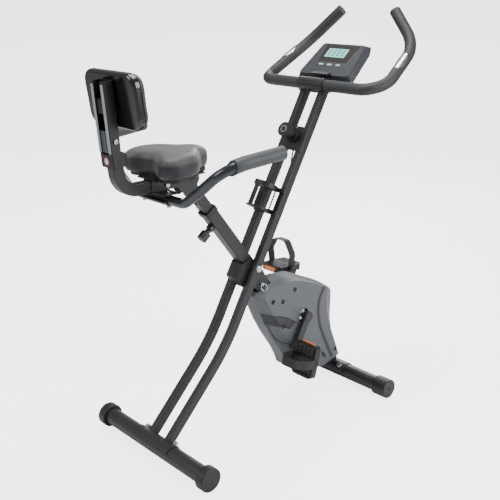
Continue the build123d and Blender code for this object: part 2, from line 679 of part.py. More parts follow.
cage_radius, cage_foot, cage_lip, cage_back = 34.0, 158.0, 234.0, 48.0
with BuildPart() as bottle_cage:
    with BuildSketch(Plane(origin=at_post(cage_lip - 13, cage_back), x_dir=Y, z_dir=post_up)):
        Circle(cage_radius)
        Circle(cage_radius - 3, mode=Mode.SUBTRACT)
    extrude(amount=13)
    with BuildSketch(Plane(origin=at_post(cage_foot, cage_back), x_dir=Y, z_dir=post_up)):
        Circle(cage_radius)
        Circle(cage_radius - 11, mode=Mode.SUBTRACT)
    extrude(amount=4)
    for angle in (0, 125, 235):
        with BuildSketch(Plane(origin=at_post(cage_foot, cage_back), x_dir=Y, z_dir=post_up)):
            with Locations(Location((0, 0), 90 + angle)):
                with Locations((cage_radius - 1.5, 0)):
                    Rectangle(2.6, 16)
        extrude(amount=cage_lip - cage_foot - 6)
    with BuildSketch(Plane(origin=at_post(cage_foot, post_rear_face), x_dir=Y, z_dir=post_back)):
        with Locations((0, -4), (0, -70)):
            Rectangle(88, 13)
    extrude(amount=4)
parts["bottle_cage"] = bottle_cage.part

# ================================================================ seat on its post
with BuildPart() as seat_post:
    with BuildSketch(Plane(origin=at_seat(seat_tube_top - 115), x_dir=Y, z_dir=seat_up)):
        RectangleRounded(seat_post_size, seat_post_size, 3)
        RectangleRounded(seat_post_size - 2 * tube_wall, seat_post_size - 2 * tube_wall, 1.5,
                         mode=Mode.SUBTRACT)
    extrude(amount=seat_post_top - seat_tube_top + 115)
    with BuildSketch(Plane(origin=at_seat(192.8, 20), x_dir=Y, z_dir=seat_back)):
        with Locations(*[(0, -30 * step) for step in range(-2, 5)]):
            Circle(5.4)
    extrude(amount=-12, mode=Mode.SUBTRACT)
parts["seat_post"] = seat_post.part.solids().sort_by(SortBy.VOLUME)[-1]

with BuildPart() as support_tube:
    with BuildLine(Plane.XZ) as support_line:
        FilletPolyline((-440, 838), (-428, 755), (-290, 755), radius=52)
    with BuildSketch(Plane(origin=support_line.line @ 0, x_dir=Y, z_dir=support_line.line % 0)):
        RectangleRounded(30, 30, 3)
        RectangleRounded(26, 26, 1.5, mode=Mode.SUBTRACT)
    sweep()
    with Locations((-300, 0, 755)):
        Cylinder(4, 60, rotation=(90, 0, 0), mode=Mode.SUBTRACT)
parts["support_tube"] = support_tube.part

with BuildPart() as seat_carrier:
    with BuildSketch(side(-15)) as carrier_side:
        with BuildLine():
            Polyline((-347, 772), (-196, 772), (-196, 752), (-214, 722), (-240, 712), (-262, 743),
                     (-347, 743), close=True)
        make_face()
        fillet(carrier_side.vertices().group_by(Axis.Z)[0], 6)
    extrude(amount=3)
    mirror(about=Plane.XZ)
    with Locations((-271, 0, 773.5)):
        Box(152, 84, 3)
    with Locations((side_bar_x, -39, 741.5), (side_bar_x, 39, 741.5)):
        Box(50, 46, 3)
    with Locations((-300, 0, 755)):
        Cylinder(4, 60, rotation=(90, 0, 0), mode=Mode.SUBTRACT)
    with Locations((side_bar_x, -50, 740), (side_bar_x, 50, 740)):
        Cylinder(3, 60, mode=Mode.SUBTRACT)
parts["seat_carrier"] = seat_carrier.part.solids().sort_by(SortBy.VOLUME)[-1]

side_points = [(-157.6, -275.3, 853.5), (-319.7, -262.9, 839.8), (-319.5, -164.6, 764.9),
               (side_bar_x, -110.6, side_bar_z), (side_bar_x, 110.6, side_bar_z),
               (-319.5, 164.6, 764.9), (-319.7, 262.9, 839.8), (-157.6, 275.3, 853.5)]
side_radii = [68, 80, 46, 46, 80, 68]
with BuildPart() as side_bar:
    with BuildLine() as side_line:
        FilletPolyline(*side_points, radius=side_radii)
    with BuildSketch(Plane(origin=side_line.line @ 0, z_dir=side_line.line % 0)):
        Circle(bar_radius)
        Circle(bar_radius - tube_wall, mode=Mode.SUBTRACT)
    sweep()
    with Locations((side_bar_x, -50, 727), (side_bar_x, 50, 727)):
        Cylinder(3, 60, mode=Mode.SUBTRACT)
parts["side_bar"] = side_bar.part

with BuildPart() as side_grip:
    with BuildLine() as grip_line:
        FilletPolyline(*side_points, radius=side_radii)
    with BuildSketch(Plane(origin=grip_line.line @ 0, z_dir=grip_line.line % 0)):
        Circle(17.25)
        Circle(bar_radius, mode=Mode.SUBTRACT)
    sweep()
    with Locations((-345, 0, 800)):
        Box(100, 700, 300, mode=Mode.SUBTRACT)
    for end, sign in ((0, -1), (1, 1)):
        with BuildSketch(Plane(origin=grip_line.line @ end, z_dir=sign * (grip_line.line % end))):
            Circle(17.25)
        extrude(amount=4)
parts["side_grips"] = Compound(children=list(side_grip.part.solids().sort_by(Axis.Y)))

with BuildPart() as side_bar_clamp:
    with BuildSketch(side(0)) as clamp_profile:
        with Locations((side_bar_x, side_bar_z)):
            Circle(bar_radius + 3)
            Circle(bar_radius, mode=Mode.SUBTRACT)
            with Locations((0, 20)):
                Rectangle(60, 40, mode=Mode.SUBTRACT)
            with Locations((-19, -1.5), (19, -1.5)):
                Rectangle(12, 3)
    extrude(amount=60, both=True)
    with Locations((side_bar_x, -50, 727), (side_bar_x, 50, 727)):
        Cylinder(3, 60, mode=Mode.SUBTRACT)
parts["side_bar_clamp"] = side_bar_clamp.part

clamp_bolt_plane = Plane(origin=(side_bar_x, -50, side_bar_z - bar_radius - 3), z_dir=(0, 0, -1))
carrier_bolt_plane = Plane(origin=(-300, -18, 755), z_dir=(0, -1, 0))
clamp_bolt = hex_bolt(clamp_bolt_plane, 6, 4.5, 3, 37)
carrier_bolt = hex_bolt(carrier_bolt_plane, 7, 5, 4, 42)

saddle_outline = [(-335, 0), (-343, 28), (-359, 60), (-355, 90), (-320, 108), (-273, 103), (-235, 78),
                  (-209, 49), (-183, 37), (-163, 22), (-157, 0)]


def saddle_sketch(plane, shrink=1.0):
    half = [(-258 + (x + 258) * shrink, y * shrink) for x, y in saddle_outline]
    with BuildSketch(plane) as outline:
        with BuildLine():
            Spline(*half, *[(x, -y) for x, y in half[-2:0:-1]], periodic=True)
        make_face()
    return outline.sketch


with BuildPart() as saddle_pan:
    extrude(saddle_sketch(Plane.XY.offset(775), 0.86), amount=8.7)
parts["saddle_pan"] = saddle_pan.part

with BuildPart() as saddle_cushion:
    extrude(saddle_sketch(Plane.XY.offset(saddle_base)), amount=saddle_top - saddle_base)
    fillet(saddle_cushion.faces().sort_by(Axis.Z)[-1].edges(), 10)
parts["saddle_cushion"] = saddle_cushion.part

# ---- backrest rail on the support tube
rail_up = Vector(-sin(rail_lean), 0, cos(rail_lean))
rail_back = Vector(-cos(rail_lean), 0, -sin(rail_lean))
rail_foot = Vector(-461, 0, 851)
rail_width, rail_depth = 52.0, 27.0


def rail_plane(along, back=0.0):
    return Plane(origin=rail_foot + rail_up * along + rail_back * back, x_dir=Y, z_dir=rail_up)


rail_bolt_plane = Plane(origin=rail_foot + rail_up * 32 - rail_back * 13 - Y * rail_width / 2,
                        z_dir=(0, -1, 0))
with BuildPart() as backrest_rail:
    with BuildSketch(rail_plane(0)):
        with Locations((0, -rail_depth / 2)):
            RectangleRounded(rail_width, rail_depth, 3)
            Rectangle(rail_width - 5, rail_depth - 5, mode=Mode.SUBTRACT)
        Rectangle(27, 8, mode=Mode.SUBTRACT)
    extrude(amount=170)
    with BuildSketch(Plane(origin=rail_foot + rail_up * 112 - rail_back * (rail_depth - 1),
                           x_dir=Y, z_dir=rail_back)):
        SlotOverall(104, 8.2, rotation=90)
    extrude(amount=4, both=True, mode=Mode.SUBTRACT)
    # socket that clamps the rail on the support tube
    with BuildSketch(rail_plane(-32)):
        with Locations((0, -19.5)):
            RectangleRounded(rail_width, 39, 4)
    extrude(amount=32)
    with BuildLine(Plane.XZ) as socket_line:
        FilletPolyline((-440, 838), (-428, 755), (-290, 755), radius=52)
    with BuildSketch(Plane(origin=socket_line.line @ 0, x_dir=Y, z_dir=socket_line.line % 0)):
        Rectangle(30, 30)
    sweep(mode=Mode.SUBTRACT)
    with Locations(rail_bolt_plane):
        Cylinder(2.5, 4, mode=Mode.SUBTRACT)
parts["backrest_rail"] = backrest_rail.part.solids().sort_by(SortBy.VOLUME)[-1]

rail_bolt = hex_bolt(rail_bolt_plane, 6.5, 5, 2.5, 2)
parts["seat_bolts"] = Compound(children=[*both_sides(clamp_bolt).solids(), carrier_bolt.solid(),
                                         rail_bolt.solid()])

# ================================================================ backrest, sliding in the rail
panel_up = Vector(-sin(panel_lean), 0, cos(panel_lean))
panel_back = Vector(-cos(panel_lean), 0, -sin(panel_lean))
panel_middle = Vector(-440, 0, 975)
with BuildPart() as backrest_slider:
    with BuildSketch(rail_plane(96)):
        with Locations((0, -rail_depth / 2)):
            Rectangle(rail_width - 5.1, rail_depth - 5.1)
    extrude(amount=32)
    with BuildSketch(Plane(origin=rail_foot + rail_up * 112 - rail_back * 16, x_dir=Y, z_dir=-rail_back)):
        with Locations((0, 10), (0, -10)):
            Circle(4)
    extrude(amount=26)
    split(bisect_by=Plane(origin=panel_middle, z_dir=-panel_back), keep=Keep.BOTTOM)
parts["backrest_slider"] = backrest_slider.part

with BuildPart() as backrest_shell:
    with BuildSketch(Plane(origin=panel_middle, x_dir=Y, z_dir=-panel_back)) as shell_outline:
        RectangleRounded(204, 132, 30)
    extrude(amount=16)
    fillet(backrest_shell.faces().sort_by(Axis(panel_middle, panel_back))[-1].edges(), 8)
parts["backrest_shell"] = backrest_shell.part

with BuildPart() as backrest_cushion:
    with BuildSketch(Plane(origin=panel_middle - panel_back * 16.3, x_dir=Y, z_dir=-panel_back)):
        RectangleRounded(200, 128, 29)
    extrude(amount=20)
    fillet(backrest_cushion.faces().sort_by(Axis(panel_middle, -panel_back))[-1].edges(), 11)
parts["backrest_cushion"] = backrest_cushion.part

# ================================================================ pins
with BuildPart() as pop_pin:
    pin_plane = Plane(origin=at_seat(192.8, seat_post_size / 2 + 0.4), x_dir=Y, z_dir=seat_back)
    with BuildSketch(pin_plane):
        Circle(5)
    extrude(amount=32)
    with BuildSketch(pin_plane.offset(18)):
        Circle(8)
    extrude(amount=8)
    with BuildSketch(pin_plane.offset(26)):
        Circle(14)
        with PolarLocations(16.5, 8):
            Circle(4, mode=Mode.SUBTRACT)
    extrude(amount=24)
    fillet(pop_pin.faces().sort_by(Axis(pin_plane.origin, seat_back))[-1].edges(), 1.5)
parts["pop_pin"] = pop_pin.part

with BuildPart() as lock_pin:
    cross_cylinder(22, 409, 3, -31, 24)
    cross_cylinder(22, 409, 5, -27, -21)
    with Locations(Location((26, -30, 400), (62, 0, 20))):
        Torus(11, 1.3)
parts["lock_pin"] = lock_pin.part

os.makedirs("parts", exist_ok=True)
for name, solid in parts.items():
    placed = solid.moved(Location((frame_shift, 0, 0)))
    placed.label = name
    export_step(placed, f"parts/{name}.step")
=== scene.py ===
import json
import math

import bmesh
import bpy
from mathutils import Matrix, Vector
from mathutils.bvhtree import BVHTree


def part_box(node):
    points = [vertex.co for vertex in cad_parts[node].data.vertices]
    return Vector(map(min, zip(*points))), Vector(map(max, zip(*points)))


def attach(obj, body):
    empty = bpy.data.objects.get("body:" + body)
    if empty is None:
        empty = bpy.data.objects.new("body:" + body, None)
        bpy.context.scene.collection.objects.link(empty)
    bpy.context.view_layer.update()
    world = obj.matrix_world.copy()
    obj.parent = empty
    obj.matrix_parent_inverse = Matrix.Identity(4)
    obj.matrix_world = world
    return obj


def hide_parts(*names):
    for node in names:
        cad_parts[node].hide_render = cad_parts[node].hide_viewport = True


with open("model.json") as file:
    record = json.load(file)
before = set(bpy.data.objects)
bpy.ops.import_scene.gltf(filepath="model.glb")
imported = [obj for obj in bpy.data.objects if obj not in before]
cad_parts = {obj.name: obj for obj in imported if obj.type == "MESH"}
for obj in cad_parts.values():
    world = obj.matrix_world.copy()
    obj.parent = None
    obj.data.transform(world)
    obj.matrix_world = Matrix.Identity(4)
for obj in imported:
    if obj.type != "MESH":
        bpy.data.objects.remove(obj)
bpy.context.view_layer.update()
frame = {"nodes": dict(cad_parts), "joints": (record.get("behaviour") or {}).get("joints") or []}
NODES = frame["nodes"]
JOINTS = {joint["name"]: joint for joint in frame["joints"]}

# places and sizes taken over from the model, in metres and radians
CONSOLE_FOOT = Vector((0.28085, 0, 0.980))
RAIL_FOOT = Vector((-0.46415, 0, 0.851))
PANEL_LEAN = math.radians(8.0)
PAD_DEPTH = 0.020
DIAL_HEIGHT, DIAL_SWEEP = 0.0329, 260.0
POST_BOLT_HEIGHT = 0.492
PEDAL_HALF, PEDAL_MIDDLE_Y = 0.0512, 0.113
PEDAL_HANG = {"pedal_left": 4.0, "pedal_right": -76.0}
CLOTH_FRAMES = 20


# ---------------------------------------------------------------- materials
def material(name, color, rough=0.4, metal=0.0, grain=0.0, grain_size=900.0, wear=0.08, coat=0.0,
             tint=0.06, emission=0.0):
    """Principled material with a fine surface grain, uneven gloss and a slight drift in colour."""
    mat = bpy.data.materials.new(name)
    mat.use_nodes = True
    tree = mat.node_tree
    shader = tree.nodes["Principled BSDF"]
    shader.inputs["Base Color"].default_value = (*color, 1)
    shader.inputs["Roughness"].default_value = rough
    shader.inputs["Metallic"].default_value = metal
    if coat:
        shader.inputs["Coat Weight"].default_value = coat
        shader.inputs["Coat Roughness"].default_value = 0.08
    if emission:
        shader.inputs["Emission Color"].default_value = (*color, 1)
        shader.inputs["Emission Strength"].default_value = emission
    place = tree.nodes.new("ShaderNodeTexCoord")
    if wear:
        cloud = tree.nodes.new("ShaderNodeTexNoise")
        cloud.inputs["Scale"].default_value = 28.0
        cloud.inputs["Detail"].default_value = 6.0
        span = tree.nodes.new("ShaderNodeMapRange")
        span.inputs["To Min"].default_value = max(rough - wear, 0.02)
        span.inputs["To Max"].default_value = min(rough + wear, 1.0)
        tree.links.new(place.outputs["Object"], cloud.inputs["Vector"])
        tree.links.new(cloud.outputs["Fac"], span.inputs["Value"])
        tree.links.new(span.outputs["Result"], shader.inputs["Roughness"])
    if tint:
        drift = tree.nodes.new("ShaderNodeTexNoise")
        drift.inputs["Scale"].default_value = 9.0
        drift.inputs["Detail"].default_value = 3.0
        ramp = tree.nodes.new("ShaderNodeValToRGB")
        ramp.color_ramp.elements[0].position = 0.3
        ramp.color_ramp.elements[1].position = 0.7
        ramp.color_ramp.elements[0].color = (*[c * (1 - tint) for c in color], 1)
        ramp.color_ramp.elements[1].color = (*[min(c * (1 + tint), 1) for c in color], 1)
        tree.links.new(place.outputs["Object"], drift.inputs["Vector"])
        tree.links.new(drift.outputs["Fac"], ramp.inputs["Fac"])
        tree.links.new(ramp.outputs["Color"], shader.inputs["Base Color"])
    if grain:
        fine = tree.nodes.new("ShaderNodeTexNoise")
        fine.inputs["Scale"].default_value = grain_size
        fine.inputs["Detail"].default_value = 4.0
        bump = tree.nodes.new("ShaderNodeBump")
        bump.inputs["Strength"].default_value = grain
        bump.inputs["Distance"].default_value = 0.0004
        tree.links.new(place.outputs["Object"], fine.inputs["Vector"])
        tree.links.new(fine.outputs["Fac"], bump.inputs["Height"])
        tree.links.new(bump.outputs["Normal"], shader.inputs["Normal"])
    return mat


def leather(name, color, rough):
    """Synthetic leather: cells with softened edges, over the plain grain."""
    mat = material(name, color, rough, grain=0.0, wear=0.06, tint=0.05)
    tree = mat.node_tree
    shader = tree.nodes["Principled BSDF"]
    place = tree.nodes.new("ShaderNodeTexCoord")
    cells = tree.nodes.new("ShaderNodeTexVoronoi")
    cells.inputs["Scale"].default_value = 520.0
    fine = tree.nodes.new("ShaderNodeTexNoise")
    fine.inputs["Scale"].default_value = 1300.0
    mix = tree.nodes.new("ShaderNodeMath")
    mix.operation = "ADD"
    bump = tree.nodes.new("ShaderNodeBump")
    bump.inputs["Strength"].default_value = 0.35
    bump.inputs["Distance"].default_value = 0.0004
    tree.links.new(place.outputs["Object"], cells.inputs["Vector"])
    tree.links.new(place.outputs["Object"], fine.inputs["Vector"])
    tree.links.new(cells.outputs["Distance"], mix.inputs[0])
    tree.links.new(fine.outputs["Fac"], mix.inputs[1])
    tree.links.new(mix.outputs[0], bump.inputs["Height"])
    tree.links.new(bump.outputs["Normal"], shader.inputs["Normal"])
    shader.inputs["Sheen Weight"].default_value = 0.15
    return mat


M = {
    "powder": material("powder_coat", (0.014, 0.015, 0.017), 0.40, grain=0.5, grain_size=1400, coat=0.1),
    "housing": material("housing_grey", (0.100, 0.108, 0.120), 0.46, grain=0.5, grain_size=1900),
    # dark trim for the front bands, also painted shade on the housing's top-rear recess
    "housing_dark": material("housing_trim_and_painted_shade", (0.022, 0.024, 0.028), 0.40, grain=0.4, grain_size=1900),
    "plastic": material("black_plastic", (0.010, 0.010, 0.011), 0.42, grain=0.5, grain_size=1700),
    "gloss": material("gloss_black", (0.006, 0.007, 0.009), 0.20, grain=0.05, wear=0.03, coat=0.6),
    "foam": material("foam_grip", (0.024, 0.026, 0.029), 0.55, grain=0.7, grain_size=1100),
    "grip": material("side_grip_foam", (0.048, 0.052, 0.058), 0.50, grain=0.5, grain_size=1100),
    "bar": material("bar_lacquer", (0.030, 0.034, 0.043), 0.26, metal=0.45, grain=0.15, coat=0.4),
    # saddle leather: top painted lighter for light from above, sides painted darker as shade; the seam
    # between them is real
    "saddle": leather("saddle_cover", (0.062, 0.063, 0.064), 0.50),
    "side": leather("saddle_side_painted_shade", (0.020, 0.021, 0.026), 0.46),
    "back": leather("backrest_cover", (0.028, 0.030, 0.034), 0.45),
    "zinc": material("zinc_plate", (0.62, 0.64, 0.66), 0.26, metal=1.0, grain=0.2, wear=0.1),
    "chrome": material("sensor_chrome", (0.80, 0.81, 0.82), 0.12, metal=1.0, wear=0.05),
    "iron": material("cast_flywheel", (0.09, 0.09, 0.095), 0.45, metal=0.8, grain=0.6, grain_size=700),
    "rubber": material("rubber", (0.018, 0.018, 0.019), 0.62, grain=0.6, grain_size=1300),
    "console": material("console_grey", (0.030, 0.033, 0.040), 0.38, grain=0.4, grain_size=1800),
    "window": material("console_window", (0.026, 0.022, 0.020), 0.22, wear=0.03, coat=0.4),
    "lcd": material("lcd_teal", (0.26, 0.66, 0.64), 0.35, wear=0.02, tint=0.03, emission=0.35),
    "lcd_dark": material("lcd_segments", (0.08, 0.24, 0.24), 0.4, wear=0.0),
    "light": material("light_plastic", (0.30, 0.32, 0.35), 0.34, grain=0.2),
    "button": material("button_grey", (0.50, 0.52, 0.54), 0.38, grain=0.2),
    "white": material("label_white", (0.75, 0.75, 0.74), 0.4, wear=0.03),
    "red": material("label_red", (0.52, 0.05, 0.06), 0.4, wear=0.03),
    "slate": material("slate_insert", (0.075, 0.085, 0.105), 0.40, grain=0.3),
    "amber": material("reflector_amber", (0.85, 0.22, 0.03), 0.18, wear=0.04, coat=0.5),
    # dark seams, and painted shade inside vents, screw wells and grooves
    "hole": material("dark_seam_and_painted_shade", (0.004, 0.004, 0.004), 0.9, wear=0.0, tint=0.0),
}

FINISH = {
    "powder": ["main_tube", "lock_plates", "front_foot_tube", "crank_shell", "post_left", "post_right",
               "rear_foot_tube", "rear_foot_saddle", "handlebar_tube", "crank_right", "crank_left",
               "seat_post", "support_tube", "seat_carrier", "side_bar_clamp"],
    "zinc": ["front_foot_bolts", "crank_bearings", "drive_pins", "pivot_bolt", "rear_foot_bolts",
             "crank_axle", "magnet_arm", "seat_bolts", "lock_pin"],
    "housing": ["housing_right", "housing_left"],
    "plastic": ["seat_tube_collar", "housing_screws", "pivot_box", "rear_foot_caps", "handlebar_clamp",
                "tension_plate", "bottle_cage", "drive_pulley", "pedal_left", "pedal_right",
                "tension_dial", "saddle_pan", "backrest_rail", "backrest_slider", "pop_pin",
                "front_roller_right", "front_roller_left"],
    "rubber": ["drive_belt", "tension_cable", "strap_left", "strap_right"],
    "foam": ["handlebar_foam"],
    "grip": ["side_grips"],
    "bar": ["side_bar"],
    "gloss": ["backrest_shell"],
    "chrome": ["pulse_plates"],
    "console": ["console_body"],
    "window": ["console_window"],
    "button": ["button_left", "button_middle", "button_right"],
    "saddle": ["saddle_cushion"],
    "back": ["backrest_cushion"],
    "iron": ["flywheel"],
}
# give each CAD part the material of its finish
for key, members in FINISH.items():
    for member in members:
        mesh = NODES[member].data
        mesh.materials.clear()
        mesh.materials.append(M[key])


# ---------------------------------------------------------------- mesh helpers
def piece(name, verts, faces, key, body, smooth=True, thickness=0.0, bevel=0.0):
    """New mesh object in one finish, riding on a body."""
    mesh = bpy.data.meshes.new(name)
    mesh.from_pydata([tuple(v) for v in verts], [], faces)
    mesh.materials.append(M[key])
    obj = bpy.data.objects.new(name, mesh)
    bpy.context.scene.collection.objects.link(obj)
    work = bmesh.new()
    work.from_mesh(mesh)
    bmesh.ops.recalc_face_normals(work, faces=work.faces)
    work.to_mesh(mesh)
    work.free()
    if thickness:
        solid = obj.modifiers.new("thickness", "SOLIDIFY")
        solid.thickness = thickness
        solid.offset = 0
    if bevel:
        soft = obj.modifiers.new("bevel", "BEVEL")
        soft.width = bevel
        soft.segments = 3
        soft.limit_method = "ANGLE"
    for polygon in mesh.polygons:
        polygon.use_smooth = smooth
    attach(obj, body)
    return obj


def solid_of(name, outline, origin, across, up, depth, key, body, bevel=0.0006):
    """Prism from a flat outline (u, v) placed on a plane, standing out by depth."""
    across, up = Vector(across).normalized(), Vector(up).normalized()
    out = across.cross(up)
    low = [Vector(origin) + across * u + up * v for u, v in outline]
    high = [p + out * depth for p in low]
    count = len(outline)
    faces = [list(range(count))[::-1], list(range(count, 2 * count))]
    faces += [[i, (i + 1) % count, count + (i + 1) % count, count + i] for i in range(count)]
    return piece(name, low + high, faces, key, body, smooth=False, bevel=bevel)


def circle(radius, count=48):
    """Outline of a circle."""
    return [(radius * math.cos(2 * math.pi * i / count), radius * math.sin(2 * math.pi * i / count))
            for i in range(count)]


def rounded(width, height, radius, steps=6):
    """Outline of a rectangle with round corners."""
    points = []
    for cx, cy, start in ((1, 1, 0), (-1, 1, 90), (-1, -1, 180), (1, -1, 270)):
        for i in range(steps + 1):
            angle = math.radians(start + 90 * i / steps)
            points.append((cx * (width / 2 - radius) + radius * math.cos(angle),
                           cy * (height / 2 - radius) + radius * math.sin(angle)))
    return points


def ring_of(name, inner, outer, origin, across, up, depth, key, body, count=56, bevel=0.0005):
    """Flat ring standing out from a plane."""
    across, up = Vector(across).normalized(), Vector(up).normalized()
    out = across.cross(up)
    verts, faces = [], []
    for i in range(count):
        angle = 2 * math.pi * i / count
        ray = across * math.cos(angle) + up * math.sin(angle)
        for radius, lift in ((inner, 0), (outer, 0), (outer, depth), (inner, depth)):
            verts.append(Vector(origin) + ray * radius + out * lift)
    for i in range(count):
        a, b = 4 * i, 4 * ((i + 1) % count)
        for j in range(4):
            k = (j + 1) % 4
            faces.append([a + j, a + k, b + k, b + j])
    return piece(name, verts, faces, key, body, bevel=bevel)


def smooth_line(points, steps=10):
    """Catmull-Rom curve through the points."""
    ends = [points[0], *points, points[-1]]
    line = []
    for p0, p1, p2, p3 in zip(ends, ends[1:], ends[2:], ends[3:]):
        p0, p1, p2, p3 = (Vector(p) for p in (p0, p1, p2, p3))
        for i in range(steps):
            t = i / steps
            line.append(0.5 * (2 * p1 + (p2 - p0) * t + (2 * p0 - 5 * p1 + 4 * p2 - p3) * t * t
                               + (3 * p1 - p0 - 3 * p2 + p3) * t ** 3))
    line.append(Vector(points[-1]))
    return line


def tube(name, points, radius, key, body, closed=False, count=12):
    """Round tube swept along a polyline with a turning frame."""
    points = [Vector(p) for p in points]
    total = len(points)
    verts, faces = [], []
    normal = None
    for i, p in enumerate(points):
        if closed:
            along = (points[(i + 1) % total] - points[i - 1]).normalized()
        else:
            along = (points[min(i + 1, total - 1)] - points[max(i - 1, 0)]).normalized()
        if normal is None:
            normal = along.orthogonal().normalized()
        normal = (normal - along * normal.dot(along)).normalized()
        other = along.cross(normal)
        for j in range(count):
            angle = 2 * math.pi * j / count
            verts.append(p + (normal * math.cos(angle) + other * math.sin(angle)) * radius)
    for i in range(total if closed else total - 1):
        a, b = i * count, ((i + 1) % total) * count
        for j in range(count):
            k = (j + 1) % count
            faces.append([a + j, a + k, b + k, b + j])
    if not closed:
        faces.append(list(range(count))[::-1])
        faces.append(list(range((total - 1) * count, total * count)))
    return piece(name, verts, faces, key, body)


def surface_of(*names):
    """Ray-casting tree of one or more CAD nodes."""
    work = bmesh.new()
    for name in names:
        work.from_mesh(NODES[name].data)
    tree = BVHTree.FromBMesh(work)
    work.free()
    return tree


HOUSING = {-1: surface_of("housing_right"), 1: surface_of("housing_left")}


def on_housing(x, z, side, lift):
    """Point on the housing's outside seen along Y, lifted off the surface."""
    hit, normal, _, _ = HOUSING[side].ray_cast(Vector((x, side * 0.2, z)), Vector((0, -side, 0)))
    if hit is None or hit.y * side < 0.003:
        return None
    if normal.y * side < 0:
        normal = -normal
    return hit + normal * lift


def skin(name, low, high, side, key, rows=6, lift=0.0006, thickness=0.0012, steps=10):
    """Thin plate lying on the housing between two lines of (x, z) points."""
    low, high = smooth_line([(*p, 0) for p in low], steps), smooth_line([(*p, 0) for p in high], steps)
    verts, faces, index = [], [], {}
    for i, (a, b) in enumerate(zip(low, high)):
        for j in range(rows + 1):
            p = a.lerp(b, j / rows)
            found = on_housing(p.x, p.y, side, lift)
            if found is not None:
                index[i, j] = len(verts)
                verts.append(found)
    for i in range(len(low) - 1):
        for j in range(rows):
            corners = [(i, j), (i + 1, j), (i + 1, j + 1), (i, j + 1)]
            if all(c in index for c in corners):
                faces.append([index[c] for c in corners])
    return piece(name, verts, faces, key, "front_frame", thickness=thickness)


def band(name, line, width, side, key, **more):
    """Strip of even width on the housing along a line of (x, z) points."""
    dense = smooth_line([(*p, 0) for p in line], 8)
    low, high = [], []
    for i, p in enumerate(dense):
        along = (dense[min(i + 1, len(dense) - 1)] - dense[max(i - 1, 0)]).normalized()
        across = Vector((-along.y, along.x, 0)) * width / 2
        low.append((p.x - across.x, p.y - across.y))
        high.append((p.x + across.x, p.y + across.y))
    return skin(name, low, high, side, key, steps=2, **more)


# ---------------------------------------------------------------- cushions
def cushion(name, rings, key, body, node, pressure, cap, voxel=0.005):
    """Closed skin through a stack of rings, puffed out by a short cloth run."""
    count = len(rings[0])
    verts = [Vector(p) for ring in rings for p in ring]
    faces = [list(range(count))[::-1]]
    for i in range(len(rings) - 1):
        a, b = i * count, (i + 1) * count
        faces += [[a + j, a + (j + 1) % count, b + (j + 1) % count, b + j] for j in range(count)]
    faces.append(list(range((len(rings) - 1) * count, len(rings) * count)))
    obj = piece(name, verts, faces, key, body)
    bpy.context.view_layer.objects.active = obj
    remesh = obj.modifiers.new("remesh", "REMESH")
    remesh.mode = "VOXEL"
    remesh.voxel_size = voxel
    graph = bpy.context.evaluated_depsgraph_get()
    mesh = bpy.data.meshes.new_from_object(obj.evaluated_get(graph))
    obj.modifiers.remove(remesh)
    obj.data = mesh
    still = [v.co.copy() for v in mesh.vertices]
    cloth = obj.modifiers.new("cloth", "CLOTH")
    cloth.settings.use_pressure = True
    cloth.settings.uniform_pressure_force = pressure
    cloth.settings.quality = 5
    cloth.settings.mass = 0.3
    cloth.settings.tension_stiffness = 25
    cloth.settings.compression_stiffness = 25
    cloth.settings.bending_stiffness = 2
    cloth.settings.effector_weights.gravity = 0
    cloth.collision_settings.use_collision = False
    cloth.point_cache.frame_start = 1
    cloth.point_cache.frame_end = CLOTH_FRAMES
    for number in range(1, CLOTH_FRAMES + 1):
        bpy.context.scene.frame_set(number)
    graph = bpy.context.evaluated_depsgraph_get()
    puffed = bpy.data.meshes.new_from_object(obj.evaluated_get(graph))
    obj.modifiers.remove(cloth)
    moves = [p.co - q for p, q in zip(puffed.vertices, still)]
    for vertex, start, move in zip(puffed.vertices, still, moves):
        if move.length > cap:
            move = move.normalized() * cap
        vertex.co = start + move
    obj.data = puffed
    bpy.context.scene.frame_set(1)
    smooth = obj.modifiers.new("smooth", "SMOOTH")
    smooth.factor = 0.5
    smooth.iterations = 6
    obj.modifiers.new("subdivision", "SUBSURF").levels = 1
    obj.modifiers["subdivision"].render_levels = 1
    for polygon in obj.data.polygons:
        polygon.use_smooth = True
    obj.data.materials.clear()
    obj.data.materials.append(M[key])
    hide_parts(node)
    return obj


def skin_tree(obj):
    """Ray-casting tree of a finished piece, modifiers and all."""
    graph = bpy.context.evaluated_depsgraph_get()
    work = bmesh.new()
    work.from_object(obj, graph)
    tree = BVHTree.FromBMesh(work)
    work.free()
    return tree


# saddle: outline from the nose back to the two wings
low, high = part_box("saddle_cushion")
length, half = high.x - low.x, (high.y - low.y) / 2
NOSE = [(1.0, 0.0), (0.985, 0.11), (0.955, 0.19), (0.875, 0.30), (0.735, 0.45), (0.60, 0.72), (0.42, 0.95),
        (0.19, 0.99), (0.02, 0.82), (0.0, 0.56), (0.08, 0.26), (0.125, 0.0)]
half_line = smooth_line([(low.x + u * length, v * half, 0) for u, v in NOSE], 6)
outline = half_line + [Vector((p.x, -p.y, 0)) for p in half_line[-2:0:-1]]
middle = Vector((low.x + length * 0.42, 0, 0))


def saddle_ring(shrink, z, tilt=0.0):
    """Saddle outline drawn in towards the middle at height z."""
    ring = []
    for p in outline:
        q = middle + (p - middle) * shrink
        ring.append((q.x, q.y, z + tilt * abs(q.y) / half))
    return ring


